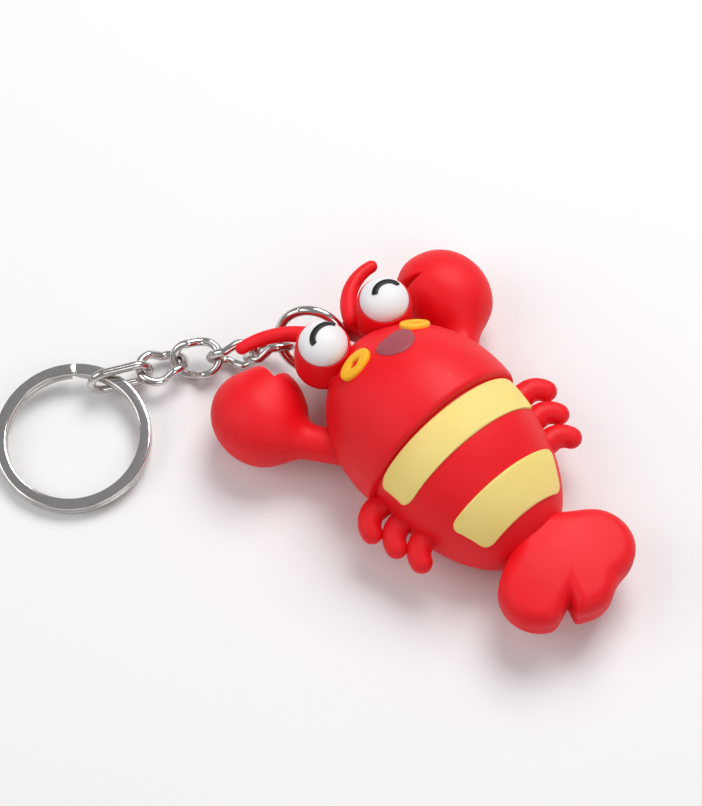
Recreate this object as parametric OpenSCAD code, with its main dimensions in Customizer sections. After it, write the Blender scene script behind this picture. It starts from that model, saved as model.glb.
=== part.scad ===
// Soft PVC lobster keychain, lying on its back, with a jump ring, a short
// twisted chain, a longer end link and a split ring.
// X is across the claws, +Y runs from the tail to the head, +Z is the front.
// The origin is on the flat of the back, so everything stands on Z = 0.

/* [Head] */
// Half of the head's width across the cheeks
head_half_w = 15; // [13:0.1:18]
// Distance from the head's widest line to its crown
head_rise = 18.4; // [16:0.1:22]
// Place of the head's widest line along the body
head_wide_y = 8; // [6:0.1:9]
// Height of the mould's parting line above the flat of the back
parting_z = 10; // [8.5:0.1:11]
// Height of the face above the parting line
head_front_h = 14.8; // [12:0.1:17]
// Depth of the round back below the parting line, before it is cut flat
head_back_h = 11.6; // [11.2:0.1:13]
// Place of the edge where the head overhangs the abdomen
head_edge_y = 5; // [4.6:0.1:5.6]

/* [Abdomen] */
// Half of the abdomen's width where it leaves the head
abdomen_half_w = 13.9; // [12:0.1:15]
// Length of the abdomen's taper, from its widest line to its tip
abdomen_run = 21; // [19:0.1:25]
// Height of the belly above the parting line
abdomen_front_h = 13.1; // [11:0.1:14]
// Depth of the abdomen's back below the parting line
abdomen_back_h = 10.9; // [10.3:0.1:12]
// Angle that the abdomen droops by, from the head's edge to the tail
abdomen_droop = 13; // [8:0.5:16]
// Place of the end of the tail's root
tail_root_y = -18; // [-19:0.1:-17]

/* [Belly bands] */
// Width of a yellow band, along the body
band_w = 5.8; // [4:0.1:6]
// Thickness of the band's inlay
band_t = 1.2; // [0.8:0.1:1.6]
// Groove all round the inlay
band_groove = 0.15; // [0.1:0.05:0.3]
// Place of the middle of the upper band
upper_band_y = 1.8; // [1.6:0.1:2]
// Half of the upper band's span at its upper and lower edges
upper_band_half = [13.4, 12.8];
// Place of the middle of the lower band
lower_band_y = -10.6; // [-11:0.1:-9]
// Half of the lower band's span at its upper and lower edges
lower_band_half = [10.3, 7.4];

/* [Claws] */
// Distance of a claw's middle from the middle of the body
claw_x = 18.6; // [17.6:0.1:22]
// Place of the left claw's middle along the body
left_claw_y = 27.8; // [25:0.1:30]
// Place of the right claw's middle along the body
right_claw_y = 25.7; // [24:0.1:30]
// Half of a claw's width, length and thickness
claw_half = [7.3, 8.3, 6.9];
// Height of a claw's parting line
claw_z = 7.3; // [7:0.1:9]
// Radius of the arm
arm_r = 2.7; // [2:0.1:3.2]
// Width of the mouth of the notch between finger and thumb
notch_w = 4.4; // [2:0.1:6]
// Depth of the notch
notch_depth = 5; // [2:0.1:6]

/* [Legs] */
// Radius of a leg
leg_r = 1.6; // [1:0.05:2]
// Distance from one leg to the next along the body
leg_pitch = 4.3; // [3.8:0.1:5]
// Radius of the bend of a leg
leg_bend_r = 3.2; // [2.6:0.1:4]
// Height of the legs
leg_z = 8.3; // [6:0.1:8.3]

/* [Tail] */
// Radius of the large lobe on each side of the tail
lobe_r = 6; // [5.5:0.1:7]
// Radius of the small lobe at the right shoulder
shoulder_r = 5.9; // [4.5:0.1:6.4]
// Distance from the middle of the left lobe to that of the right one
lobe_span = 8; // [7:0.1:10]
// Place of the left lobe's middle along the body
lobe_y = -22.4; // [-24:0.1:-21]
// Height of the fan's parting line
fan_z = 8.2; // [6:0.1:9]
// Thickness of the tail fan
fan_t = 8.6; // [7:0.1:10]
// Radius of the fan's rounded edge
fan_edge_r = 2.6; // [1:0.1:3.2]

/* [Eyes] */
// Distance of an eye from the middle of the body
eye_x = 6.1; // [5.6:0.1:7]
// Place of the eyes along the body
eye_y = 27.1; // [26.5:0.1:29]
// Radius of the eye stalk
stalk_r = 4.7; // [4.4:0.1:5.2]
// Height of the stalk's rim above the flat of the back
stalk_top_z = 18; // [17:0.1:20]
// Height of the stalk from its round bottom to its rim
stalk_h = 9.8; // [9.2:0.1:10.4]
// Radius of the ball that gives the white its dome
eye_ball_r = 4; // [3.8:0.05:4.2]
// Clearance between the white and its socket
eye_gap = 0.1; // [0.05:0.05:0.2]

/* [Face] */
// Distance of the middle of the face from the middle of the body
face_x = 0.6; // [0:0.1:1]
// Distance of a cheek ring from the middle of the face
cheek_x = 5.9; // [5:0.1:7]
// Place of the cheek rings along the body
cheek_y = 20; // [18:0.1:21]
// Length and width of a cheek ring
cheek_size = [5.8, 4.1];
// Length and width of the mouth
mouth_size = [5.9, 4];
// Place of the mouth along the body
mouth_y = 18.4; // [17:0.1:20]

/* [Lug and jump ring] */
// Place of the lug's hole along the body
lug_y = 28.2; // [27.8:0.1:29]
// Height of the middle of the lug
lug_z = 8; // [7:0.1:9]
// Thickness of the lug
lug_t = 4; // [3:0.1:4.6]
// Radius of the lug's hole
lug_hole_r = 2.1; // [1.9:0.05:2.4]
// Thickness of the rubber round the hole
lug_wall = 2.1; // [1.6:0.1:2.6]
// Outer diameter of the jump ring
jump_ring_d = 12.4; // [11.5:0.1:13.5]
// Diameter of the jump ring's wire
jump_wire_d = 1.6; // [1.2:0.05:1.8]

/* [Chain] */
// Diameter of the chain's wire
link_wire_d = 1.4; // [1:0.05:1.5]
// Pitch of the chain
link_pitch = 6; // [5.6:0.1:7]
// Outer width of a chain link
link_w = 6.8; // [6.2:0.1:7.6]
// Pitch of the longer end link
end_link_pitch = 8; // [7:0.1:9]
// Outer width of the end link
end_link_w = 6; // [5.8:0.1:6.6]
// Slack between two links that hang in each other
link_gap = 0.2; // [0.15:0.05:0.4]
// Twist of each end of a chain link about the chain's line
link_twist = 14; // [8:1:20]

/* [Split ring] */
// Outer diameter of the split ring
split_ring_d = 25; // [22:0.5:30]
// Radial width of the split ring's flat wire
split_wire_w = 1.9; // [1.4:0.1:2.2]
// Height of one coil of the split ring
split_coil_h = 1.1; // [0.9:0.05:1.2]
// Gap between the two coils
split_coil_gap = 0.12; // [0.1:0.01:0.2]

/* [Hidden] */
$fn = 48;
eps = 0.01;
far = 100;
sides = ["left", "right"];

RED = "crimson";
YELLOW = "khaki";
METAL = "silver";

// ---------------------------------------------------------------- the egg

// Half of an egg in front of z = 0: an ellipsoid that has one length towards
// +Y and another towards -Y, cut at its widest line so that both halves meet
// there without a crease.
module half_egg(half_w, rise, run, h) {
    for (end = [[rise, 0], [run, 1]])
        mirror([0, end[1], 0]) intersection() {
            scale([half_w, end[0], h]) sphere(r = 1);
            translate([-far / 2, 0, 0]) cube([far, far, far]);
        }
}

module whole_head(grow = 0) {
    translate([0, head_wide_y, parting_z]) {
        half_egg(head_half_w + grow, head_rise + grow, head_rise + grow, head_front_h + grow);
        mirror([0, 0, 1])
            half_egg(head_half_w + grow, head_rise + grow, head_rise + grow, head_back_h + grow);
    }
}

abdomen_wide_y = 3;

// The abdomen droops about the head's edge, and the back stays level.
module abdomen_front_shape(grow = 0) {
    translate([0, head_edge_y, parting_z]) rotate([abdomen_droop, 0, 0])
        translate([0, abdomen_wide_y - head_edge_y, 0])
            half_egg(abdomen_half_w + grow, abdomen_run + grow, abdomen_run + grow,
                     abdomen_front_h + grow);
}

module abdomen_back_shape() {
    translate([0, abdomen_wide_y, parting_z]) mirror([0, 0, 1])
        half_egg(abdomen_half_w, abdomen_run, abdomen_run, abdomen_back_h);
}

module above(z) { translate([-far / 2, -far / 2, z]) cube(far); }
module below(z) { translate([-far / 2, -far / 2, z - far]) cube(far); }
module headwards(y) { translate([-far / 2, y, -far / 2]) cube(far); }
module tailwards(y) { translate([-far / 2, y - far, -far / 2]) cube(far); }

// ---------------------------------------------------------------- body

module head_front() color(RED) intersection() {
    whole_head();
    headwards(head_edge_y);
    above(parting_z);
}

module head_back() color(RED) intersection() {
    whole_head();
    headwards(head_edge_y);
    below(parting_z);
    above(0);
}

// The fan overlaps the tail's root, so the abdomen ends where the fan begins.
module abdomen_front() color(RED) difference() {
    intersection() {
        abdomen_front_shape();
        tailwards(head_edge_y);
        headwards(tail_root_y);
        above(parting_z);
    }
    band_block(upper_band_y, upper_band_half, band_groove) abdomen_front_shape();
    band_block(lower_band_y, lower_band_half, band_groove) abdomen_front_shape();
    fan_shape();
}

module abdomen_back() color(RED) difference() {
    intersection() {
        abdomen_back_shape();
        tailwards(head_edge_y);
        headwards(tail_root_y);
        above(0);
    }
    fan_shape();
}

// A rounded rectangle seen from the front, cut through the belly. What is left
// of it outside the inner egg is the inlay, or its pocket when it is grown.
module band_block(y, half, grow = 0) {
    corner_r = 1.1;
    difference() {
        intersection() {
            children();
            translate([0, y, parting_z + 1])
                linear_extrude(height = far) rounded_band(half, corner_r, grow);
        }
        abdomen_front_shape(-band_t - grow);
    }
}

// A band's outline: wider at its upper edge, with round corners.
module rounded_band(half, r, grow) {
    in_y = band_w / 2 - r;
    corners = [
        [half[0] - r, in_y], [r - half[0], in_y],
        [r - half[1], -in_y], [half[1] - r, -in_y]
    ];
    polygon(corners);
    for (i = [0:3]) {
        edge = corners[(i + 1) % 4] - corners[i];
        translate(corners[i]) {
            circle(r = r + grow);
            rotate(atan2(edge[1], edge[0])) translate([0, -r - grow])
                square([norm(edge), 2 * (r + grow)]);
        }
    }
}

module belly_band(y, half) {
    recess = 0.1;
    color(YELLOW) band_block(y, half) abdomen_front_shape(-recess);
}

module belly_band_upper() belly_band(upper_band_y, upper_band_half);
module belly_band_lower() belly_band(lower_band_y, lower_band_half);

// ---------------------------------------------------------------- claws

// The notch opens headwards and is turned towards the eyes, more so on the right.
module claw_notch(side) {
    notch_x = side == "left" ? -5 : -3;
    notch_turn = side == "left" ? 40 : 60;
    translate([notch_x, claw_half[1] - notch_depth, -far / 2]) rotate([0, 0, notch_turn])
        linear_extrude(height = far)
            polygon([[0, 0], [notch_w, 2 * notch_depth], [-notch_w, 2 * notch_depth]]);
}

// A claw on the +X side: a flattened ball with a notch, and an arm that runs
// into the side of the head.
module claw_shape(side) {
    claw_y = side == "left" ? left_claw_y : right_claw_y;
    arm_root = [8, head_edge_y + 6.6, claw_z + 1];
    difference() {
        union() {
            translate([claw_x, claw_y, claw_z]) difference() {
                scale(claw_half) sphere(r = 1);
                claw_notch(side);
            }
            rod(arm_root, [claw_x - 1, claw_y - 5.6, claw_z], arm_r);
        }
        whole_head();
        below(0);
    }
}

// A round rod between two points, with a ball at its far end.
module rod(from, to, r) {
    way = to - from;
    run = norm(way);
    translate(from)
        rotate([0, acos(way[2] / run), atan2(way[1], way[0])])
            cylinder(h = run, r = r);
    translate(to) sphere(r = r + eps);
}

// Every paired piece is made on the +X side and mirrored for the left.
module on_side(side) {
    mirror([side == "left" ? 1 : 0, 0, 0]) children();
}

module claw_front(side) color(RED) on_side(side) intersection() {
    claw_shape(side);
    above(claw_z);
}

module claw_back(side) color(RED) on_side(side) intersection() {
    claw_shape(side);
    below(claw_z);
}

// ---------------------------------------------------------------- legs

// A leg leaves the side, bends tailwards and ends in a round tip. The legs get
// shorter towards the tail.
module leg(side, i) {
    leg_root_x = 6;
    bend_x = 15.2 - 1.3 * i;
    leg_y = 4.2 - leg_pitch * i;
    tip_turn = 75;
    color(RED) on_side(side) difference() {
        translate([0, leg_y, leg_z]) {
            translate([leg_root_x, 0, 0]) rotate([0, 90, 0])
                cylinder(h = bend_x - leg_root_x, r = leg_r);
            translate([bend_x, -leg_bend_r, 0]) {
                rotate([0, 0, 90 - tip_turn]) rotate_extrude(angle = tip_turn)
                    translate([leg_bend_r, 0]) circle(r = leg_r);
                rotate([0, 0, 90 - tip_turn]) translate([leg_bend_r, 0, 0])
                    sphere(r = leg_r + eps);
            }
        }
        abdomen_back_shape();
        whole_head_edge();
    }
}

// The part of the head that overhangs the first leg.
module whole_head_edge() intersection() {
    whole_head();
    headwards(head_edge_y);
}

// ---------------------------------------------------------------- tail fan

module lobe(x, y, r) {
    h = fan_t / 2 - fan_edge_r;
    translate([x, y, fan_z]) rotate_extrude() {
        translate([0, -fan_t / 2]) square([r - fan_edge_r, fan_t]);
        translate([0, -h]) square([r, 2 * h]);
        for (up = [0, 1])
            mirror([0, up]) intersection() {
                translate([r - fan_edge_r, h]) circle(r = fan_edge_r);
                translate([0, h]) square([r, fan_edge_r]);
            }
    }
}

// A large lobe on each side of a notch, and a smaller one at the right
// shoulder, which leaves a shallow dent in the edge.
module fan_shape() {
    left_x = -5.6;
    right_x = left_x + lobe_span;
    right_y = lobe_y - 2.8;
    shoulder_x = right_x + 3.4;
    shoulder_y = lobe_y - 0.2;
    web_run = 8;
    web_y = shoulder_y + shoulder_r - 1.5 - web_run;
    lobe(left_x, lobe_y, lobe_r);
    lobe(right_x, right_y, lobe_r);
    lobe(shoulder_x, shoulder_y, shoulder_r);
    translate([left_x, web_y, fan_z - fan_t / 2 + fan_edge_r / 2])
        cube([shoulder_x - left_x, web_run, fan_t - fan_edge_r]);
}

module tail_fan_front() color(RED) intersection() {
    fan_shape();
    above(fan_z);
}

module tail_fan_back() color(RED) intersection() {
    fan_shape();
    below(fan_z);
}

// ---------------------------------------------------------------- eyes

ball_z = stalk_top_z - 1.2;

module stalk_outside() {
    translate([eye_x, eye_y, stalk_top_z - stalk_h + stalk_r]) {
        sphere(r = stalk_r);
        cylinder(h = stalk_h - stalk_r, r = stalk_r);
    }
}

module eye_ball(grow = 0) {
    translate([eye_x, eye_y, ball_z]) sphere(r = eye_ball_r + grow);
}

// A cup for the white, on a neck that is cut to the head's surface.
module eye_stalk(side) color(RED) on_side(side) difference() {
    union() {
        stalk_outside();
        rod([eye_x - 1.5, eye_y - 8, ball_z - 3.5], [eye_x, eye_y - 1, ball_z - 3.5], 2.8);
    }
    whole_head();
    eye_ball(eye_gap);
    translate([eye_x, eye_y, ball_z]) cylinder(h = far, r = eye_ball_r + eye_gap);
}

module eye_white(side) color("white") on_side(side) difference() {
    eye_ball();
    whole_head(eye_gap);
}

// The closed eyelid is a raised line: part of a hoop that lies on the ball.
module eyelid_line(side) {
    lid_turn = 26;
    lid_lift = 58;
    lid_wire = 0.34;
    hoop_r = 2.3;
    hoop_h = sqrt(pow(eye_ball_r, 2) - pow(hoop_r, 2));
    x = side == "left" ? -eye_x : eye_x;
    color("black") difference() {
        translate([x, eye_y, ball_z]) rotate([0, 0, lid_turn])
            translate([0, -0.6, hoop_h]) rotate_extrude(angle = 180 - lid_lift * 0.3)
                translate([hoop_r, 0]) circle(r = lid_wire, $fn = 24);
        translate([x, eye_y, ball_z]) sphere(r = eye_ball_r);
    }
}

// ---------------------------------------------------------------- face

// Height of the head's surface, and the lean of its normal, above a point.
function head_z(x, y) = parting_z + head_front_h
    * sqrt(1 - pow(x / head_half_w, 2) - pow((y - head_wide_y) / head_rise, 2));
function head_slope(x, y) = let (z = head_z(x, y) - parting_z) [
    x / pow(head_half_w, 2),
    (y - head_wide_y) / pow(head_rise, 2),
    z / pow(head_front_h, 2)
];

// Puts a flat piece on the head, square to the surface.
module on_head(x, y) {
    n = head_slope(x, y);
    translate([x, y, head_z(x, y)])
        rotate([0, acos(n[2] / norm(n)), atan2(n[1], n[0])])
            rotate([0, 0, -atan2(n[1], n[0])])
                children();
}

// An oval raised ring with a small diamond hole.
module cheek_ring(side) {
    cheek_t = 0.9;
    cheek_sink = 1.2;
    diamond = [1.9, 1];
    out = side == "left" ? -1 : 1;
    color("gold") difference() {
        on_head(face_x + out * cheek_x, cheek_y) rotate([0, 0, -12 * out]) difference() {
            translate([0, 0, -cheek_sink]) scale([1, cheek_size[1] / cheek_size[0], 1])
                cylinder(h = cheek_sink + cheek_t, d = cheek_size[0]);
            translate([0, 0, -far / 2]) linear_extrude(height = far)
                polygon([for (a = [0:90:270])
                    [cos(a) * diamond[0] / 2, sin(a) * diamond[1] / 2]]);
        }
        whole_head();
    }
}

module mouth() {
    mouth_t = 0.5;
    mouth_sink = 1.2;
    color("rosybrown") difference() {
        on_head(2 * face_x, mouth_y)
            translate([0, 0, -mouth_sink]) scale([1, mouth_size[1] / mouth_size[0], 1])
                cylinder(h = mouth_sink + mouth_t, d = mouth_size[0]);
        whole_head();
    }
}

// ---------------------------------------------------------------- antennae

// A horn that leaves the stalk headwards and bends outwards. The left horn is
// the longer one and bends less.
module antenna(side) {
    horn_r = 1.25;
    bend_r = side == "left" ? 13.7 : 8.6;
    horn_turn = side == "left" ? 61 : 80;
    horn_root = side == "left" ? [3, 29.5, 12.9] : [2, 29.4, 13.2];
    root_lean = side == "left" ? 66 : 72;
    color(RED) on_side(side) difference() {
        translate(horn_root) rotate([0, 0, root_lean]) translate([0, -bend_r, 0]) {
            rotate([0, 0, 90 - horn_turn]) rotate_extrude(angle = horn_turn)
                translate([bend_r, 0]) circle(r = horn_r);
            for (at = [90 - horn_turn, 90])
                rotate([0, 0, at]) translate([bend_r, 0, 0]) sphere(r = horn_r + 0.05);
        }
        stalk_outside();
    }
}

// ---------------------------------------------------------------- lug

lug_r = lug_hole_r + lug_wall;

module hanging_lug() {
    chamfer = 1;
    root_y = 18;
    color(RED) difference() {
        union() {
            translate([0, lug_y, lug_z - lug_t / 2]) cylinder(h = lug_t, r = lug_r);
            translate([-lug_r, root_y, lug_z - lug_t / 2]) cube([2 * lug_r, lug_y - root_y, lug_t]);
        }
        translate([0, lug_y, lug_z]) cylinder(h = far, r = lug_hole_r, center = true);
        for (up = [0, 1])
            translate([0, lug_y, lug_z]) mirror([0, 0, up]) translate([0, 0, lug_t / 2 - chamfer])
                cylinder(h = chamfer + eps, r1 = lug_hole_r, r2 = lug_hole_r + chamfer);
        whole_head();
        for (side = sides)
            on_side(side) stalk_outside();
    }
}

// ---------------------------------------------------------------- jump ring

jump_r = (jump_ring_d - jump_wire_d) / 2;
// The ring stands steeply in the lug's hole: its plane holds the level line
// across it, and leans back from upright.
ring_heading = 125;
ring_lean = 30;
ring_offset = 0.6;
ring_wire_at_lug = [
    ring_offset * cos(ring_heading),
    lug_y + ring_offset * sin(ring_heading),
    lug_z
];
ring_middle = ring_wire_at_lug + jump_r * [cos(ring_heading), sin(ring_heading), 0];

// A ring's level line is its local X, towards the chain, and its steepest line
// is its local Y.
module place_jump_ring() {
    translate(ring_middle) rotate([0, 0, ring_heading]) rotate([90 + ring_lean, 0, 0]) children();
}

module jump_ring() color(METAL) place_jump_ring()
    rotate_extrude() translate([jump_r, 0]) circle(r = jump_wire_d / 2);

// Where the first link hangs, as an angle on the ring from its level line.
hang_turn = -30;
function ring_point(a) = ring_middle
    + jump_r * cos(a) * [cos(ring_heading), sin(ring_heading), 0]
    + jump_r * sin(a) * [sin(ring_heading) * sin(ring_lean),
                         -cos(ring_heading) * sin(ring_lean), cos(ring_lean)];

// ---------------------------------------------------------------- chain

// Each link lies along its own line: its heading on the surface, its climb
// above it, and its roll about its own line.
link_heading = [142, 144, 140, 165, 156];
link_climb = [-18, -4.5, -9, 8, 1];
link_roll = [130, 90, 36, -15, 85];
links = len(link_heading);

function way(i) = [
    cos(link_climb[i]) * cos(link_heading[i]),
    cos(link_climb[i]) * sin(link_heading[i]),
    sin(link_climb[i])
];
// A link's run is the distance between the middles of its two end wires.
function run_of(i) = (i == links - 1 ? end_link_pitch : link_pitch) + link_wire_d + link_gap;
// Two wires meet on the line halfway between the ways of their links.
function way_between(i) = (way(i - 1) + way(i)) / norm(way(i - 1) + way(i));
function first_end(i) = i == 0
    ? ring_point(hang_turn) - ((jump_wire_d + link_wire_d) / 2 + link_gap) * way(0)
    : second_end(i - 1) - (link_wire_d + link_gap) * way_between(i);
function second_end(i) = first_end(i) + run_of(i) * way(i);

module place_link(i) {
    translate(first_end(i))
        rotate([0, -link_climb[i], link_heading[i]])
            rotate([-link_roll[i], 0, 0])
                children();
}

// A link from one end wire at the origin to the other at X = run: two half
// rings, turned against each other by the twist, and two limbs.
module link_shape(run, half_w, r, twist) {
    for (end = [0, 1])
        translate([end == 0 ? half_w : run - half_w, 0, 0])
            rotate([end == 0 ? twist : -twist, 0, 0])
                rotate([0, 0, end == 0 ? 90 : -90])
                    rotate_extrude(angle = 180) translate([half_w, 0]) circle(r = r);
    for (side = [-1, 1]) {
        from = [half_w, side * half_w * cos(twist), side * half_w * sin(twist)];
        to = [run - half_w, side * half_w * cos(twist), -side * half_w * sin(twist)];
        rod(from, to, r);
        translate(from) sphere(r = r + eps);
    }
}

module chain_link(i) color(METAL) place_link(i)
    link_shape(run_of(i), (link_w - link_wire_d) / 2, link_wire_d / 2, link_twist);

module end_link() color(METAL) place_link(links - 1)
    link_shape(run_of(links - 1), (end_link_w - link_wire_d) / 2, link_wire_d / 2, 0);

// ---------------------------------------------------------------- split ring

// The ring lies on the surface, and its near side rests on the end link's
// lower limb.
split_heading = 214;
split_seat = 1.5;
split_h = 2 * split_coil_h + split_coil_gap;
split_tilt = asin((link_wire_d + 0.9) / split_ring_d);
split_inner_r = split_ring_d / 2 - split_wire_w;
split_middle = second_end(links - 1)
    + (split_inner_r - split_seat) * [cos(split_heading), sin(split_heading), 0];

module place_split_ring() {
    translate([split_middle[0], split_middle[1], 0])
        rotate([0, 0, split_heading])
            translate([split_ring_d / 2, 0, 0]) rotate([0, split_tilt, 0])
                translate([-split_ring_d / 2, 0, 0])
                    children();
}

// Two coils of flat wire, one on the other: a slot parts them nearly all the
// way round, and they join over a short step.
module split_ring() color(METAL) place_split_ring() {
    step_turn = 14;
    slot_over = 1;
    difference() {
        rotate_extrude() translate([split_inner_r, 0]) square([split_wire_w, split_h]);
        rotate([0, 0, 200]) rotate_extrude(angle = 360 - step_turn)
            translate([split_inner_r - slot_over, split_coil_h])
                square([split_wire_w + 2 * slot_over, split_coil_gap]);
    }
}

// ---------------------------------------------------------------- nodes

head_front();
head_back();
abdomen_front();
abdomen_back();
belly_band_upper();
belly_band_lower();
tail_fan_front();
tail_fan_back();
mouth();
hanging_lug();
jump_ring();
end_link();
split_ring();
for (side = sides) {
    claw_front(side);
    claw_back(side);
    eye_stalk(side);
    eye_white(side);
    eyelid_line(side);
    cheek_ring(side);
    antenna(side);
    for (i = [0:2])
        leg(side, i);
}
for (i = [0:links - 2])
    chain_link(i);
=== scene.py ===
# %% [markdown]
# # A soft rubber lobster keychain
#
# The figure is cast in soft PVC: a big round head, a banded abdomen, two claws, six short legs and a
# thick tail fan. A jump ring through a rubber lug, a short twisted chain and a flat-wire split ring
# hold the keys. The CAD model fixes every size and joint. This notebook gives each piece the soft,
# slightly uneven surface of the real thing, and the rubber and the nickel their finish.
#
# The first cell loads the CAD model. Everything is in metres and in its frame: X across the claws,
# +Y towards the head, +Z out of the front, with the flat of the back on Z = 0.

import bpy
import numpy as np
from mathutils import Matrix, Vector


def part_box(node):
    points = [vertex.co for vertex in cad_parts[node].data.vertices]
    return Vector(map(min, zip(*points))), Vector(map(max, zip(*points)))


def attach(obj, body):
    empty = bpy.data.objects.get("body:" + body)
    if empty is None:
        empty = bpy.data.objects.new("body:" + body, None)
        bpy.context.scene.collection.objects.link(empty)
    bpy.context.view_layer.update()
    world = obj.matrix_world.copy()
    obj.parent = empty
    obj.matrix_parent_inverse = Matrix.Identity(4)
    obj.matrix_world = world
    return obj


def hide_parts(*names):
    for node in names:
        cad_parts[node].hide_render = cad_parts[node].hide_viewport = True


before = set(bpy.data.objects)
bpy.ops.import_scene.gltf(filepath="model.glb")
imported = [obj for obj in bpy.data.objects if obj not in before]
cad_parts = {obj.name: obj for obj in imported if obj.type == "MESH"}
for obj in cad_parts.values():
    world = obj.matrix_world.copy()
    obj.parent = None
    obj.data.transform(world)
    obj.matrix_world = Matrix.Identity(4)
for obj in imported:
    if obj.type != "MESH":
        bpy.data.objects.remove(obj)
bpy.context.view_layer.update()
MM = 0.001

# %% [markdown]
# ## Turning numbers into a mesh
#
# Nearly every piece here is a skin over a grid of points: rows that run from one end of the piece to
# the other, each row a closed loop. One helper closes the ends with a single point each, or joins the
# last row to the first for a ring, and checks which way the faces look. It measures the volume
# inside: a negative one means that the skin is inside out, so the faces are turned round.

# %% Skin helper
def skin(name, rows, ends=None):
    """A closed mesh over rows of points in millimetres. Each row is a loop, so its last point joins
    its first. With ends, two points close the first and last rows. Without, the last row joins the
    first."""
    n, m = rows.shape[:2]
    points = rows.reshape(-1, 3)
    i = np.arange(n - 1 if ends is not None else n)[:, None]
    j = np.arange(m)[None, :]
    below, right = (i + 1) % n, (j + 1) % m
    quads = np.stack([i * m + j, i * m + right, below * m + right, below * m + j], -1).reshape(-1, 4)
    tris = np.zeros((0, 3), int)
    if ends is not None:
        points = np.concatenate([points, np.array(ends, float).reshape(2, 3)])
        k = np.arange(m)
        first = np.stack([np.full(m, n * m), (k + 1) % m, k], -1)
        last = np.stack([np.full(m, n * m + 1), (n - 1) * m + k, (n - 1) * m + (k + 1) % m], -1)
        tris = np.concatenate([first, last])
    a, b, c, d = (points[quads[:, s]] for s in range(4))
    volume = np.einsum("ij,ij->i", a, np.cross(b, c) + np.cross(c, d)).sum()
    if volume < 0:
        quads, tris = quads[:, ::-1], tris[:, ::-1]
    mesh = bpy.data.meshes.new(name)
    mesh.from_pydata((points * MM).tolist(), [], quads.tolist() + tris.tolist())
    mesh.polygons.foreach_set("use_smooth", np.ones(len(mesh.polygons), bool))
    mesh.update()
    piece = bpy.data.objects.new(name, mesh)
    bpy.context.scene.collection.objects.link(piece)
    print(f"{name}: {len(points)} points, {len(quads) + len(tris)} faces")
    return piece


# %% [markdown]
# ## Soft shapes as fields
#
# Cast rubber has no sharp edge: where two forms meet, there is a small soft fillet. A good way to get
# that is to describe a form by its distance field, a function that is negative inside and positive
# outside. Two fields join with a minimum, and a rounded minimum leaves a fillet. The surface is then
# found along rays that leave the middle of the piece, by halving the stretch that holds the crossing.
# The grid of rays makes a clean skin, with no boolean and no remesh.

# %% Fields
def ellipsoid(p, centre, radii):
    """Nearly the distance to an ellipsoid: how far out the point is over how fast that grows."""
    q = p - np.array(centre, float)
    out = np.linalg.norm(q / radii, axis=-1)
    growth = np.linalg.norm(q / np.square(radii), axis=-1)
    return out * (out - 1) / np.maximum(growth, 1e-9)


def capsule(p, start, end, r_start, r_end):
    """Distance to a rod with round ends whose radius changes evenly from one end to the other."""
    a, b = np.array(start, float), np.array(end, float)
    t = np.clip((p - a) @ (b - a) / ((b - a) @ (b - a)), 0, 1)
    return np.linalg.norm(p - a - t[..., None] * (b - a), axis=-1) - (r_start + (r_end - r_start) * t)


def join(a, b, soft):
    """The lower of two fields, with a fillet about soft wide where they meet."""
    h = np.maximum(soft - np.abs(a - b), 0) / soft
    return np.minimum(a, b) - h * h * soft / 4


def keep(a, b, soft):
    """What lies inside both fields, with an edge rounded over about soft."""
    return -join(-a, -b, soft)


def turn(p, axis, degrees):
    """Points turned about an axis of the frame: 0 for X, 1 for Y, 2 for Z."""
    c, s = np.cos(np.radians(degrees)), np.sin(np.radians(degrees))
    j, k = (axis + 1) % 3, (axis + 2) % 3
    out = np.array(p, float)
    out[..., j], out[..., k] = c * p[..., j] - s * p[..., k], s * p[..., j] + c * p[..., k]
    return out


def halving(field, base, way, reach, steps=26):
    """The distance along each way from its base to where the field first turns positive: a coarse
    walk finds the stretch that holds the crossing, and halving it again and again closes in."""
    marks = np.linspace(0, reach, 40)
    outside = np.stack([field(base + way * t) > 0 for t in marks])
    first = np.argmax(outside, axis=0)
    first = np.where(outside.any(axis=0), first, len(marks) - 1)
    low, high = marks[np.maximum(first - 1, 0)], marks[first]
    for _ in range(steps):
        middle = (low + high) / 2
        out = field(base + way * middle[..., None]) > 0
        low, high = np.where(out, low, middle), np.where(out, middle, high)
    return (low + high) / 2


def ray_skin(name, field, centre, reach, rows=150, columns=260, lean=None):
    """A skin where rays from the centre cross the field: the rays are the lines of a globe, from the
    pole at +Z to the pole at -Z, or from the lean's pole."""
    lat = np.pi * np.arange(1, rows + 1)[:, None] / (rows + 1)
    lon = 2 * np.pi * np.arange(columns)[None, :] / columns
    way = np.stack([np.sin(lat) * np.cos(lon), np.sin(lat) * np.sin(lon), np.cos(lat) + 0 * lon], -1)
    poles = np.array([[0, 0, 1.0], [0, 0, -1.0]])
    if lean is not None:
        way, poles = turn(way, *lean), turn(poles, *lean)
    centre = np.array(centre, float)
    far_out = halving(field, centre, way, reach)
    ends = centre + poles * halving(field, centre, poles, reach)[:, None]
    return skin(name, centre + way * far_out[..., None], ends)


# %% [markdown]
# ## The head
#
# The head is an egg that is fuller in front than behind. Its lower edge overhangs the first yellow
# band like the rim of a helmet, and the back is flat where the figure rests. Both cuts are soft, as
# the mould rounds them. Width, length and height are read off the CAD node's box, so the head
# follows the CAD.

# %% Head
head_low, head_high = (np.array(v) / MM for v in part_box("head_front"))
PARTING = head_low[2]
HEAD_MIDDLE = np.array([0, 8, PARTING])
HEAD_RADII = np.array([head_high[0], head_high[1] - HEAD_MIDDLE[1], head_high[2] - PARTING])
HEAD_BACK_H = 11.6
HEAD_EDGE = head_low[1]
EDGE_ROUND, BACK_ROUND = 0.8, 1.2


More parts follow.
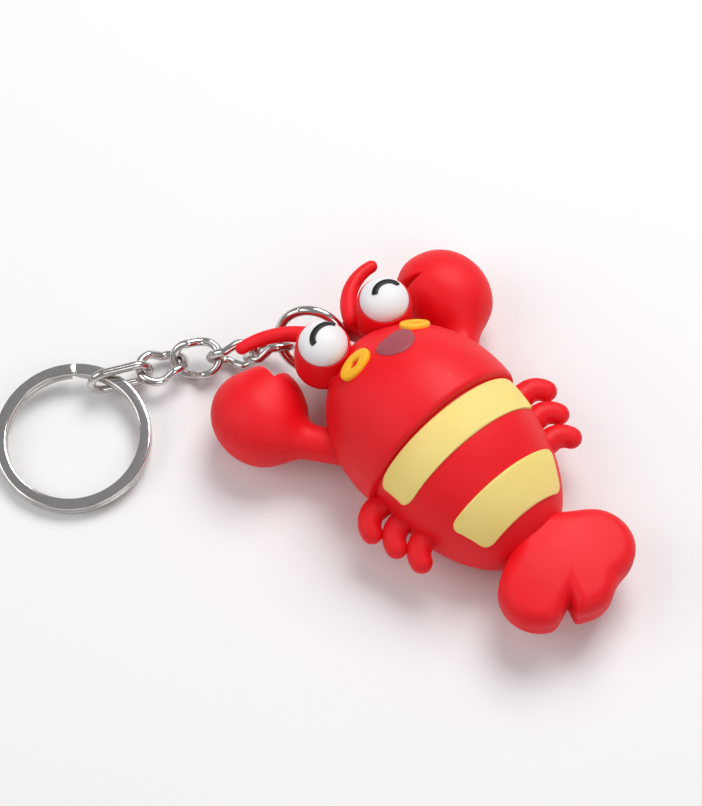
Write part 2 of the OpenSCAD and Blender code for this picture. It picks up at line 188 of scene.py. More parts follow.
def egg(p, middle, front_radii, back_h):
    """An ellipsoid with one height in front of its middle and another behind it."""
    back_radii = np.array([front_radii[0], front_radii[1], back_h])
    front, back = ellipsoid(p, middle, front_radii), ellipsoid(p, middle, back_radii)
    return np.where(p[..., 2] > middle[2], front, back)


def head_field(p):
    """The head's egg, kept above the helmet's rim and in front of the flat back."""
    body = egg(p, HEAD_MIDDLE, HEAD_RADII, HEAD_BACK_H)
    return keep(keep(body, HEAD_EDGE - p[..., 1], EDGE_ROUND), -p[..., 2], BACK_ROUND)


head = ray_skin("head", head_field, (0, 12, 9), 30, 200, 320)
print("head radii:", HEAD_RADII.round(2))

# %% [markdown]
# ## The abdomen
#
# The abdomen is a second egg that droops from the head's edge towards the tail, so it is the same
# field turned about X at that edge. It runs on a little under the head's rim, so no gap shows there.

# %% Abdomen
DROOP = 13
HINGE = np.array([0, HEAD_EDGE, PARTING])
ABDOMEN_MIDDLE = np.array([0, 3, PARTING])
ABDOMEN_RADII = np.array([13.9, 21, 13.1])
ABDOMEN_BACK_H = 9.8
UNDER_HEAD = 1.5


def abdomen_egg(p):
    """The abdomen's egg: the points are turned level about the hinge before the egg is asked."""
    level = turn(p - HINGE, 0, -DROOP) + HINGE
    return egg(level, ABDOMEN_MIDDLE, ABDOMEN_RADII, ABDOMEN_BACK_H)


def abdomen_field(p):
    """The drooping egg, kept from running far under the head and in front of the flat back."""
    past_rim = p[..., 1] - HEAD_EDGE - UNDER_HEAD
    return keep(keep(abdomen_egg(p), past_rim, 1.0), -p[..., 2], BACK_ROUND)


abdomen = ray_skin("abdomen", abdomen_field, (0, -5, 7), 26, 170, 280)

# %% [markdown]
# ## Bands and mouth: inlays
#
# Two yellow bands cross the belly, and the mouth is a mauve half round. On the real figure each is
# its own colour of rubber, poured into a pocket, so it stands a hair proud with a rounded edge, and
# a fine dark line shows round it. An inlay is built from its outline seen from the front. Rays in the
# plane find the outline, and rings grow from the middle out to it. Each point is lifted on to the
# body and then out along the surface's normal. The rim drops below the surface, and the underside
# closes it.

# %% Inlay helper
OVERHEAD = 30.0


def normals(field, p):
    """The way out of the surface: how the field grows along each axis, made one long."""
    step = np.eye(3) * 0.01
    way = np.stack([field(p + s) - field(p - s) for s in step], -1)
    return way / np.linalg.norm(way, axis=-1, keepdims=True)


def lift(field, xy):
    """Points of the plan lifted on to the front of the body, looking for the surface from above."""
    base = np.concatenate([xy, np.full(xy.shape[:-1] + (1,), OVERHEAD)], -1)
    down = np.broadcast_to(np.array([0, 0, -1.0]), base.shape)
    drop = halving(lambda p: -field(p), base, down, OVERHEAD - 1)
    return base + down * drop[..., None]


def inlay(name, outline, middle, field, proud, fillet, sunk=0.9, rings=34, columns=260):
    """A closed pad on a body. The outline is a field in the plan; proud is how far it stands out, and
    fillet is how far in from the rim the rounding reaches."""
    lon = 2 * np.pi * np.arange(columns) / columns
    way = np.stack([np.cos(lon), np.sin(lon)], -1)
    rim = halving(outline, np.array(middle, float), way, 22)
    near_rim = 1 - 0.1 * np.linspace(1, 0, 10)[1:] ** 2
    share = np.concatenate([np.linspace(0.02, 0.9, rings), near_rim])
    reach = share[:, None] * rim
    edge = np.clip((rim - reach) / fillet, 0, 1)
    rise = proud * np.sqrt(1 - (1 - edge) ** 2)
    top = np.array(middle, float) + way * reach[..., None]
    on_body = lift(field, top)
    out = normals(field, on_body)
    face = on_body + out * rise[..., None]
    wall = on_body[-1] - out[-1] * sunk
    under = (on_body - out * sunk)[::-6]
    rows = np.concatenate([face, wall[None], under[1:]])
    return skin(name, rows, [face[0].mean(0), under[-1].mean(0)])


def trapezoid(middle, half_head, half_tail, width, r):
    """Field of a band's outline: a strip whose ends lean in towards the tail, with round corners."""
    def field(q):
        x, y = np.abs(q[..., 0] - middle[0]), q[..., 1] - middle[1]
        half = half_tail + (half_head - half_tail) * (y / width + 0.5)
        dx, dy = x - half + r, np.abs(y) - width / 2 + r
        outside = np.hypot(np.maximum(dx, 0), np.maximum(dy, 0))
        return outside + np.minimum(np.maximum(dx, dy), 0) - r
    return field


# %% Bands
BAND_W, BAND_CORNER, BAND_PROUD, BAND_FILLET = 5.8, 1.2, 0.36, 0.4


def band(name, y, half_head, half_tail):
    """A yellow band at y: half its length at the head's side and at the tail's side."""
    outline = trapezoid((0, y), half_head, half_tail, BAND_W, BAND_CORNER)
    return inlay(name, outline, (0, y), abdomen_egg, BAND_PROUD, BAND_FILLET)


upper_band = band("belly_band_upper_inlay", 1.8, 13.45, 12.9)
lower_band = band("belly_band_lower_inlay", -10.6, 10.3, 7.4)

# %% [markdown]
# ## Mouth
#
# The mouth and the cheek rings lie square on the head's front. The mouth is one more inlay, and its
# outline is the wide half round of a smile: an oval bowl under a nearly straight upper edge.

# %% Mouth
BOWL_UP, CORNER_SOFT = 0.6, 1.6


def smile(middle, half_wide, drop, top, tilt):
    """Field of an open mouth in the plan: an oval cut by a straight upper edge, with soft corners."""
    c, s = np.cos(np.radians(tilt)), np.sin(np.radians(tilt))

    def field(q):
        x, y = q[..., 0] - middle[0], q[..., 1] - middle[1]
        across, up = c * x + s * y, c * y - s * x
        bowl = (np.hypot(across / half_wide, (up - BOWL_UP) / drop) - 1) * half_wide
        return keep(bowl, up - top, CORNER_SOFT)
    return field


MOUTH = (1.45, 18.4)
mouth = inlay("mouth_inlay", smile(MOUTH, 3.4, 3.2, 1.9, 6), MOUTH, head_field, 0.3, 0.7, 0.6, 20, 120)

# %% [markdown]
# ## Cheek rings
#
# Each cheek is a flat oval ring with a diamond hole, and its section is a low soft square. The middle
# line of the section lies halfway between the oval rim and the diamond, and its half width is half
# the distance between them, so one formula gives the round outside and the angular inside. A small
# frame is worked out at each ring's place: the surface point, its normal, and two directions across.

# %% Cheek rings
HOLE_LONG, HOLE_SHORT, HOLE_POWER, CHEEK_H = 1.15, 0.7, 1.2, 0.55


def head_frame(x, y):
    """The head's front at (x, y): the point, two directions along the surface, and its normal."""
    at = lift(head_field, np.array([[x, y]], float))[0]
    out = normals(head_field, at[None])[0]
    across = np.cross([0, 1.0, 0], out)
    across /= np.linalg.norm(across)
    return at, across, np.cross(out, across), out


def cheek(name, x, y, degrees, half_long, half_short, columns=144, around=28):
    """The angle a goes round the ring and b round its section: the radius is the middle line plus the
    half width times cos b, and the height is the ring's height times sin b, softly squared."""
    at, across, along, out = head_frame(x, y)
    a = 2 * np.pi * np.arange(columns)[:, None] / columns
    b = 2 * np.pi * np.arange(around)[None, :] / around
    rim = 1 / np.sqrt((np.cos(a) / half_long) ** 2 + (np.sin(a) / half_short) ** 2)
    hole = ((np.abs(np.cos(a)) / HOLE_LONG) ** HOLE_POWER
            + (np.abs(np.sin(a)) / HOLE_SHORT) ** HOLE_POWER) ** (-1 / HOLE_POWER)
    r = (rim + hole) / 2 + (rim - hole) / 2 * np.sign(np.cos(b)) * np.abs(np.cos(b)) ** 0.6
    h = CHEEK_H * np.sign(np.sin(b)) * np.abs(np.sin(b)) ** 0.55
    c, s = np.cos(np.radians(degrees)), np.sin(np.radians(degrees))
    u, v = r * np.cos(a), r * np.sin(a)
    place = (c * u - s * v)[..., None] * across + (s * u + c * v)[..., None] * along
    return skin(name, at + place + h[..., None] * out)


left_cheek = cheek("left_cheek_oval", -5.1, 20.3, 6, 3.0, 2.25)
right_cheek = cheek("right_cheek_oval", 6.7, 20, -12, 2.6, 2.1)

# %% [markdown]
# ## Claws
#
# A claw is a flattened ball on a short thick arm, with a smaller ball in front that carries finger
# and thumb. A notch between them opens towards the eyes. It is a wedge taken away softly, so the
# rubber lips stay round. A fine flash line runs round the claw where the two halves of the mould met,
# so the field swells very slightly there. The rays start on the notch's own line, so that they see
# both of its walls.

# %% Claws
CLAW_Z = 7.3
FLASH_H, FLASH_W = 0.07, 0.13
ARM_R, NOTCH_SOFT = (2.7, 2.9), 0.6
CLAW_RADII = np.array([7.2, 8.2, 6.85])
FORE_RADII = np.array([4.3, 5.8, 5.9])


def wedge(p, tip, way_degrees, spread):
    """Field of an endless wedge with its sharp edge upright at the tip, opening along a heading."""
    q = p[..., :2] - np.array(tip)
    c, s = np.cos(np.radians(way_degrees)), np.sin(np.radians(way_degrees))
    ahead, aside = c * q[..., 0] + s * q[..., 1], np.abs(c * q[..., 1] - s * q[..., 0])
    lean = np.radians(spread)
    return aside * np.cos(lean) - ahead * np.sin(lean)


def claw_field(side, middle, fore, tip, heading, spread):
    """A flattened ball, a smaller one in front, an arm, and the notch between finger and thumb."""
    root = np.array([side * 8.5, HEAD_EDGE + 5.8, CLAW_Z + 0.6])
    wrist = np.array(middle) - np.array([side * 1.4, 5.6, 0])

    def field(p):
        front = ellipsoid(p, (*fore, CLAW_Z), FORE_RADII)
        ball = join(ellipsoid(p, middle, CLAW_RADII), front, 1.6)
        body = join(ball, capsule(p, root, wrist, *ARM_R), 2.0)
        body = keep(body, -wedge(p, tip, heading, spread), NOTCH_SOFT)
        flash = FLASH_H * np.exp(-np.square((p[..., 2] - CLAW_Z) / FLASH_W))
        return body - flash
    return field


def claw(name, side, y, fore, tip, heading, spread, rays_from, reach):
    """One claw: its ball, its fore ball, and a notch with its tip, heading and half opening."""
    field = claw_field(side, (side * 18.6, y, CLAW_Z), fore, tip, heading, spread)
    return ray_skin(name, field, (*rays_from, CLAW_Z), reach, 220, 340)


left_claw = claw("left_claw", -1, 27.8, (-14.6, 29), (-13.6, 29.9), 44, 38, (-17.4, 25.6), 26)
right_claw = claw("right_claw", 1, 25.7, (17, 27.6), (16.0, 29.0), 158, 17, (20.2, 27.2), 30)

# %% [markdown]
# ## Carrying a profile along a path
#
# Legs, horns, rings and links are all one section carried along a path. At each point of the path the
# section stands square to it. A steady upright keeps the section from spinning: one side direction is
# the path's direction crossed with the upright. A round end is made by letting the radius fall to
# nothing along a quarter circle, while the path runs on by one radius.

# %% Sweep helper
def smooth_ends(n, length, r_start, r_end, round_start=True, round_end=True):
    """Stations along a rod, as distances from its start, with the share of the radius at each: close
    together in the round ends, where the share follows a quarter circle."""
    angle = np.linspace(0.12, np.pi / 2, 11)
    quarter = np.sin(angle)
    start = r_start * (1 - np.cos(angle))
    end = length - r_end * (1 - np.cos(angle[::-1]))
    middle = np.linspace(r_start, length - r_end, n)[1:-1]
    s = [start if round_start else np.array([0.0]), middle, end if round_end else np.array([length])]
    share = [quarter if round_start else np.ones(1), np.ones(len(middle)),
             quarter[::-1] if round_end else np.ones(1)]
    return np.concatenate(s), np.concatenate(share)


def along(path, s):
    """Points at distances s along a densely sampled path."""
    gaps = np.linalg.norm(np.diff(path, axis=0), axis=1)
    run = np.concatenate([[0], np.cumsum(gaps)])
    return np.stack([np.interp(s, run, path[:, k]) for k in range(3)], -1), run[-1]


def tangents(points, closed):
    """The path's direction at each point, from the point before to the point after, made one long."""
    if closed:
        way = np.roll(points, -1, axis=0) - np.roll(points, 1, axis=0)
    else:
        way = np.gradient(points, axis=0)
    return way / np.linalg.norm(way, axis=1, keepdims=True)


def sweep(name, points, section, upright, closed=False, ends=None):
    """Carries a section along points. The section is (stations or 1, around, 2): offsets along the
    side, which is the path's direction crossed with the upright, and along the height."""
    way = tangents(points, closed)
    up = np.broadcast_to(np.array(upright, float), way.shape)
    side = np.cross(way, up)
    side /= np.linalg.norm(side, axis=1, keepdims=True)
    height = np.cross(side, way)
    rows = points[:, None] + section[..., :1] * side[:, None] + section[..., 1:] * height[:, None]
    if closed:
        return skin(name, rows)
    return skin(name, rows, [points[0], points[-1]] if ends is None else ends)


def circle(around):
    """A round section of radius one."""
    b = 2 * np.pi * np.arange(around) / around
    return np.stack([np.cos(b), np.sin(b)], -1)


def soft_rod(name, path, radius_at, around=40, n=60):
    """A rod with round ends along a path; radius_at gives the radius from the share of its length."""
    _, length = along(path, 0)
    r0, r1 = radius_at(np.array([0.0, 1.0]))
    s, share = smooth_ends(n, length, r0, r1)
    points, _ = along(path, s)
    r = radius_at(s / length) * share
    tips, _ = along(path, np.array([0, length]))
    return sweep(name, points, circle(around)[None] * r[:, None, None], (0, 0, 1), ends=tips)


# %% [markdown]
# ## Legs
#
# Three stubby legs leave each side, bend towards the tail and end in a fat round tip. Each is a
# straight run and a bend, and its radius swells in the middle, as the poured rubber does.

# %% Legs
LEG_R = 1.9
LEG_BEND_R = 3.2
LEG_Z = 8.3
legs = []
for side_name, side in (("left", -1), ("right", 1)):
    for k in range(3):
        bend_x, leg_y = 15.2 - 1.3 * k + 0.3 + 0.7 * side, 3.7 - 4.3 * k
        straight = np.stack([np.linspace(6, bend_x, 30), np.full(30, leg_y), np.full(30, LEG_Z)], -1)
        a = np.radians(90 - np.linspace(0, 72 - 8 * side, 40)[1:])
        bend = np.stack([bend_x + LEG_BEND_R * np.cos(a), leg_y + LEG_BEND_R * (np.sin(a) - 1),
                         LEG_Z - 0.6 * (1 - np.sin(a))], -1)
        tip = bend[-1] + np.linspace(0.05, 1.6, 12)[:, None] * (bend[-1] - bend[-2]) \
            / np.linalg.norm(bend[-1] - bend[-2])
        path = np.concatenate([straight, bend, tip]) * [side, 1, 1]
        legs.append(soft_rod(f"{side_name}_leg_{k + 1}_soft", path,
                             lambda t: LEG_R * (0.84 + 0.9 * t - 0.93 * t ** 2)))

# %% [markdown]
# ## Tail fan
#
# The fan is a thick heart-like slab: a lobe on each side of a notch, and a shoulder on the right that
# leaves a shallow dent in the edge. The outline is a soft join of four discs less a wedge. A slab with
# a rounded rim comes from one rule: a point's distance outside the inner outline and outside the inner
# thickness, taken together as the two sides of a right triangle, equals the rim's radius.

# %% Tail fan
fan_mid, fan_high = (np.array(v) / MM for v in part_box("tail_fan_front"))
FAN_Z = fan_mid[2]
FAN_HALF = fan_high[2] - FAN_Z
FAN_RIM = 2.1
LINE_DEEP, LINE_W = 0.09, 0.14


def fan_outline(q):
    """The fan's edge in the plan: four discs joined softly, less the notch."""
    def disc(x, y, r):
        return np.hypot(q[..., 0] - x, q[..., 1] - y) - r
    left, root = disc(-5.4, -22.7, 6.0), disc(1.0, -19.8, 6.2)
    right, shoulder = disc(0.3, -25.8, 5.3), disc(6.3, -22.9, 6.1)
    lobes = join(join(left, root, 4.0), join(right, shoulder, 2.2), 3.0)
    return keep(lobes, -wedge(q, (-3.0, -27.0), 226, 24), NOTCH_SOFT)


def fan_field(p):
    """The slab's rule: the two distances as sides of a right triangle, less the rim's radius. The
    slab thins a little with the square of the distance from its middle, and the line is a groove."""
    domed = FAN_HALF - 0.012 * (np.square(p[..., 0]) + np.square(p[..., 1] + 22.5))
    across = fan_outline(p) + FAN_RIM
    up = np.abs(p[..., 2] - FAN_Z) - domed + FAN_RIM
    outside = np.hypot(np.maximum(across, 0), np.maximum(up, 0))
    slab = outside + np.minimum(np.maximum(across, up), 0) - FAN_RIM
    line = np.exp(-np.square((p[..., 2] - FAN_Z) / LINE_W))
    return slab + LINE_DEEP * line


tail_fan = ray_skin("tail_fan", fan_field, (0.8, -22.6, FAN_Z), 22, 230, 340)

# %% [markdown]
# ## Eyes
#
# Each eye is a cup on a short neck, with a white dome let into it. The cup is a profile turned about
# an upright line: up the outside, over a thin rim and down into the socket. The white fills the
# socket and rises as a low dome. The closed eyelid is a thick black stroke on it that hooks down.

# %% Eye helpers
EYES = {"left": np.array([-5.95, 27.05]), "right": np.array([6.4, 26.9])}
WHITE_R, WHITE_H = 3.88, 2.75
RIM_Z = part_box("left_eye_stalk")[1][2] / MM


def lathe(name, profile, centre, around=120):
    """A profile of (radius, height) points turned about an upright line; its first and last points
    lie on the line."""
    b = 2 * np.pi * np.arange(around)[None, :] / around
    inner = profile[1:-1]
    rows = np.stack([centre[0] + inner[:, :1] * np.cos(b), centre[1] + inner[:, :1] * np.sin(b),
                     inner[:, 1:] + 0 * b], -1)
    ends = [(centre[0], centre[1], profile[0, 1]), (centre[0], centre[1], profile[-1, 1])]
    return skin(name, rows, ends)


def arc(middle, r, start, end, n):
    """Points of a circle in the profile, from one angle to another, in degrees."""
    a = np.radians(np.linspace(start, end, n))
    return np.stack([middle[0] + r * np.cos(a), middle[1] + r * np.sin(a)], -1)


# %% Eye cups and whites
CUP_R, CUP_H, LIP = 4.62, 9.8, 0.14
BELLY_Z = RIM_Z - CUP_H + CUP_R
SOCKET_R, SOCKET_DEEP, WHITE_DEEP = WHITE_R + 0.05, 4.05, 3.95
climb = np.linspace(0, 1, 30)[1:-1]
RIM_R = SOCKET_R + 2 * LIP
side_wall = np.stack([RIM_R + (CUP_R - RIM_R) * (1 - climb ** 2),
                      BELLY_Z + (RIM_Z - LIP - BELLY_Z) * climb], -1)
socket = arc((0, 0), 1, 0, -90, 30) * [SOCKET_R, SOCKET_DEEP] + [0, RIM_Z - LIP]
belly = arc((0, BELLY_Z), CUP_R, -90, 0, 30)
lip = arc((RIM_R - LIP, RIM_Z - LIP), LIP, 0, 180, 12)
cup_profile = np.concatenate([belly, side_wall, lip, socket[1:]])
dome = arc((0, 0), 1, 90, 0, 40) * [WHITE_R, WHITE_H] + [0, RIM_Z]
tuck = arc((0, 0), 1, 0, -90, 30)[1:] * [WHITE_R, WHITE_DEEP] + [0, RIM_Z]
white_profile = np.concatenate([dome, tuck])
cups, whites, necks = [], [], []
NECK_Z = RIM_Z - 4.8
for side_name, side in (("left", -1), ("right", 1)):
    at = EYES[side_name]
    cups.append(lathe(f"{side_name}_eye_cup", cup_profile, at))
    whites.append(lathe(f"{side_name}_eye_ball", white_profile, at))
    neck = np.linspace([side * 4.4, 18.5, NECK_Z], [at[0], 26.4, NECK_Z], 40)
    necks.append(soft_rod(f"{side_name}_eye_neck", neck, lambda t: 2.9 + 0.2 * t))


# %% Eyelids
def lid_stroke(name, centre, plan, half_w=0.5, height=0.24, n=90, around=24):
    """A stroke on a dome. A smooth curve goes through the plan's points and is lifted on to the dome,
    and a low soft square rides on it, with blunt ends."""
    t = np.linspace(0, 1, len(plan))
    fine = np.linspace(0, 1, n)
    bend = [np.polyfit(t, np.array(plan, float)[:, k], 3) for k in range(2)]
    q = np.stack([np.polyval(b, fine) for b in bend], -1)
    z = WHITE_H * np.sqrt(np.maximum(1 - np.square(q / WHITE_R).sum(-1), 0.02))
    points = np.concatenate([q, z[:, None]], -1)
    out = points / [WHITE_R ** 2, WHITE_R ** 2, WHITE_H ** 2]
    out /= np.linalg.norm(out, axis=1, keepdims=True)
    way = tangents(points, False)
    side = np.cross(way, out)
    side /= np.linalg.norm(side, axis=1, keepdims=True)
    taper = np.minimum(np.minimum(fine, 1 - fine) / 0.045, 1)
    taper = 0.75 + 0.25 * np.sqrt(1 - (1 - taper) ** 2)
    b = 2 * np.pi * np.arange(around) / around
    wide = half_w * taper[:, None] * np.sign(np.cos(b)) * np.abs(np.cos(b)) ** 0.7
    tall = height * np.sign(np.sin(b)) * np.abs(np.sin(b)) ** 0.7
    rows = points[:, None] + wide[..., None] * side[:, None] + tall[..., None] * out[:, None]
    place = np.array([centre[0], centre[1], RIM_Z])
    return skin(name, rows + place, np.stack([points[0], points[-1]]) + place)


lids = [
    lid_stroke("left_eyelid_stroke", EYES["left"],
               [(-1.85, -0.2), (-1.4, 0.75), (-0.3, 1.45), (1.0, 1.7), (2.2, 1.35), (3.0, 0.65)]),
    lid_stroke("right_eyelid_stroke", EYES["right"],
               [(-1.4, 0.6), (-0.6, 1.3), (0.5, 1.5), (1.6, 1.3), (2.3, 0.65), (2.6, -0.2)]),
]

# %% [markdown]
# ## Horns and hanging lug
#
# A horn grows beside each eye cup, curls outwards and tapers to a blunt tip. The lug between the eyes
# is a rounded tab with a hole for the jump ring. Its section is a soft square carried round the hole,
# and a stubby bar joins it to the head.

# %% Horns
def horn(name, side, root, lean, bend, sweep_angle, droop):
    """A horn along an arc that leaves its root at the lean and turns outwards, sinking as it goes."""
    a = np.radians(np.linspace(-6, sweep_angle, 80))
    curl = np.stack([bend * np.sin(a), bend * (np.cos(a) - 1), -droop * a], -1)
    path = (turn(curl, 2, lean) + root) * [side, 1, 1]
    return soft_rod(name, path, lambda t: 1.42 - 0.45 * t ** 1.5)


horns = [horn("left_horn", -1, (3.2, 29.2, 12.9), 66, 13.7, 64, 0.7),
         horn("right_horn", 1, (2, 29.4, 13.2), 72, 8.6, 84, 0.5)]

# %% Lug
lug_low, lug_high = (np.array(v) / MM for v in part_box("hanging_lug"))
LUG_MID_R, LUG_HALF_W = 3.15, 1.05
LUG = np.array([0, lug_high[1] - LUG_MID_R - LUG_HALF_W, (lug_low[2] + lug_high[2]) / 2])
LUG_T = lug_high[2] - lug_low[2]
a = np.linspace(0, 2 * np.pi, 121)[:-1]
b = 2 * np.pi * np.arange(32) / 32
soft_square = np.stack([np.sign(np.cos(b)) * np.abs(np.cos(b)) ** 0.55 * LUG_HALF_W,
                        np.sign(np.sin(b)) * np.abs(np.sin(b)) ** 0.55 * LUG_T / 2], -1)
eye_ring = LUG + np.stack([LUG_MID_R * np.cos(a), LUG_MID_R * np.sin(a), 0 * a], -1)
lug = sweep("hanging_lug_eye", eye_ring, soft_square[None], (0, 0, 1), closed=True)
bar_y = np.linspace(LUG[1] - 7, LUG[1] - 2.2, 30)
bar_path = np.stack([0 * bar_y, bar_y, np.full(30, LUG[2])], -1)
bar_section = soft_square[None] * [3.6, 0.97] * np.ones((30, 1, 1))
lug_bar = sweep("hanging_lug_bar", bar_path, bar_section, (0, 0, 1))

# %% [markdown]
# ## Metal rings and links
#
# The chain is bent from round wire: each link is a loop whose ends are twisted against each other, so
# that the links lie flat. The path of a link is a running-track oval, and its points turn about the
# link's own line by an angle that goes evenly from one end to the other. The seam where the wire's
# ends meet is a fine groove across one limb. Headings, climbs and rolls repeat the CAD source, and
# the last lines of the links' cell compare each loop with its CAD node's box.

# %% Chain layout
WIRE, PITCH, END_PITCH, GAP, TWIST = 1.4, 6.0, 8.0, 0.2, 14
LINK_W, END_W, JUMP_WIRE = 6.8, 6.0, 1.6
HEADING = [142, 144, 140, 165, 156]
CLIMB = [-18, -4.5, -9, 8, 1]
ROLL = [130, 90, 36, -15, 85]
RING_HEADING, RING_LEAN, HANG_TURN, JUMP_R = 125, 30, -30, 5.4
RING_PLAY = 0.6


def unit(v):
    return np.array(v) / np.linalg.norm(v)


def heading_way(climb, heading):
    """A direction from its heading about Z, counted from X, and its climb above the level."""
    c, h = np.radians(climb), np.radians(heading)
    return np.array([np.cos(c) * np.cos(h), np.cos(c) * np.sin(h), np.sin(c)])


level = heading_way(0, RING_HEADING)
lean = np.radians(RING_LEAN)
steep = np.array([level[1] * np.sin(lean), -level[0] * np.sin(lean), np.cos(lean)])
ring_start = LUG + RING_PLAY * level
RING_MIDDLE = ring_start + JUMP_R * level
hang_angle = np.radians(HANG_TURN)
hang = RING_MIDDLE + JUMP_R * (np.cos(hang_angle) * level + np.sin(hang_angle) * steep)
ways = [heading_way(c, h) for c, h in zip(CLIMB, HEADING)]
runs = [PITCH + WIRE + GAP] * 4 + [END_PITCH + WIRE + GAP]
starts = [hang - ((JUMP_WIRE + WIRE) / 2 + GAP) * ways[0]]
for k in range(1, 5):
    before = starts[-1] + runs[k - 1] * ways[k - 1]
    starts.append(before - (WIRE + GAP) * unit(ways[k - 1] + ways[k]))
print("ring middle:", RING_MIDDLE.round(2), "first link at:", starts[0].round(2))


# %% Links
SEAM_DEEP, SEAM_AT, SEAM_W = 0.16, 10, 1.1


def track(run, half_w, n):
    """A running-track oval in its plane, from x = 0 to x = run, evenly spaced by its own length."""
    a = np.linspace(0, np.pi, 120)
    far = np.stack([run - half_w + half_w * np.sin(a), half_w * np.cos(a)], -1)
    near = np.stack([half_w - half_w * np.sin(a), -half_w * np.cos(a)], -1)
    loop = np.concatenate([far, near, far[:1]])
    s = np.concatenate([[0], np.cumsum(np.linalg.norm(np.diff(loop, axis=0), axis=1))])
    t = np.linspace(0, s[-1], n + 1)[:-1]
    return np.stack([np.interp(t, s, loop[:, 0]), np.interp(t, s, loop[:, 1])], -1)


def link(name, k, half_w, twist, n=260):
    """The oval twisted about its own line, then rolled, raised and turned to lie as the CAD link."""
    flat = track(runs[k], half_w, n)
    share = np.clip((flat[:, 0] - half_w) / (runs[k] - 2 * half_w), 0, 1)
    angle = np.radians(twist * (1 - 2 * share))
    loop = np.stack([flat[:, 0], flat[:, 1] * np.cos(angle), flat[:, 1] * np.sin(angle)], -1)
    across = np.stack([0 * angle, -np.sin(angle), np.cos(angle)], -1)
    seam = np.exp(-np.square((np.arange(n) - (n - SEAM_AT)) / SEAM_W))
    r = WIRE / 2 * (1 - SEAM_DEEP * seam)

    def place(v):
        return turn(turn(turn(v, 0, -ROLL[k]), 1, -CLIMB[k]), 2, HEADING[k])
    points = place(loop) + starts[k]
    return sweep(name, points, circle(30)[None] * r[:, None, None], place(across), closed=True)


links = [link(f"chain_link_{k + 1}_wire", k, (LINK_W - WIRE) / 2, TWIST) for k in range(4)]
links.append(link("end_link_wire", 4, (END_W - WIRE) / 2, 0))


def off_cad(piece, node):
    """How far the piece's box is from its CAD node's box, at the worst face."""
    low, high = (np.array(v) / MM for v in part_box(node))
    co = np.array([v.co for v in piece.data.vertices]) / MM
    return np.abs([co.min(0) - low, co.max(0) - high]).max().round(2)


for k, node in enumerate(["chain_link_1", "chain_link_2", "chain_link_3", "chain_link_4", "end_link"]):
    print(node, "off the CAD box by", off_cad(links[k], node), "mm")

# %% [markdown]
# The jump ring is a plain wire circle with a cut in it. The two ends nearly meet: the ring is a rod
# that goes almost all the way round, with flat ends.

# %% Jump ring
a = np.radians(np.linspace(0.9, 359.1, 260) + 64)
ring_path = RING_MIDDLE + JUMP_R * (np.cos(a)[:, None] * level + np.sin(a)[:, None] * steep)
ring_axis = np.cross(level, steep)
jump_section = circle(32)[None] * JUMP_WIRE / 2 * np.ones((len(ring_path), 1, 1))
jump_ring = sweep("jump_ring_wire", ring_path, jump_section, ring_axis)

# %% [markdown]
# The split ring is a flat strip wound twice round. Its path is a circle that stays level for a turn,
# steps up by one thickness over a short stretch and goes round again. The section is a rectangle with
# rounded corners. The ends are cut square, with one end on top and one below, where a key goes in.

# %% Split ring
SPLIT_D, SPLIT_W, COIL, COIL_GAP = 25, 1.9, 1.1, 0.12
SEAT, SPLIT_HEADING, STEP_TURN = 1.5, 214, 14
tilt = np.degrees(np.arcsin((WIRE + 0.9) / SPLIT_D))
link_end = starts[4] + runs[4] * ways[4]
seat = link_end + (SPLIT_D / 2 - SPLIT_W - SEAT) * heading_way(0, SPLIT_HEADING)


def split_place(v):
    """From the split ring's own frame to the model's: tilted about its far edge, turned and moved."""
    level_v = turn(v - [SPLIT_D / 2, 0, 0], 1, tilt) + [SPLIT_D / 2, 0, 0]
    return turn(level_v, 2, SPLIT_HEADING) + [seat[0], seat[1], 0]


turns = np.linspace(0, 720 - 4, 700)
rise = np.clip((turns - (360 - STEP_TURN)) / STEP_TURN, 0, 1)
rise = rise * rise * (3 - 2 * rise) * (COIL + COIL_GAP)
r = (SPLIT_D - SPLIT_W) / 2
a = np.radians(turns + 200)
coil_path = split_place(np.stack([r * np.cos(a), r * np.sin(a), COIL / 2 + rise], -1))
b = 2 * np.pi * np.arange(36) / 36
flat_wire = np.stack([np.sign(np.cos(b)) * np.abs(np.cos(b)) ** 0.38 * SPLIT_W / 2,
                      np.sign(np.sin(b)) * np.abs(np.sin(b)) ** 0.45 * COIL / 2], -1)
split_up = split_place(np.array([[0, 0, 1.0]])) - split_place(np.zeros((1, 3)))
strip = flat_wire[None] * np.ones((len(coil_path), 1, 1))
split_ring = sweep("split_ring_strip", coil_path, strip, split_up[0])
print("split ring off the CAD box by", off_cad(split_ring, "split_ring"), "mm")

# %% [markdown]
# ## Shared surface effects
#
# The rubber and the metal share a few effects: a slow mottle, fine grain, and small specks. Each is a
# shader node group that is built once, with its scale and strength as inputs. The groups read Object
# coordinates, which are metres here, so a scale of 1000 gives features about a millimetre across.

# %% Node helpers
def wire(tree, out_socket, in_socket):
    tree.links.new(out_socket, in_socket)


def new_group(name, inputs, outputs):
    """An empty shader group with named float inputs, and outputs of the given kinds."""
    tree = bpy.data.node_groups.new(name, "ShaderNodeTree")
    for label, value in inputs.items():
        given = tree.interface.new_socket(label, in_out="INPUT", socket_type="NodeSocketFloat")
        given.default_value = value
    for label, kind in outputs.items():
        tree.interface.new_socket(label, in_out="OUTPUT", socket_type=kind)
    return tree, tree.nodes.new("NodeGroupInput"), tree.nodes.new("NodeGroupOutput")


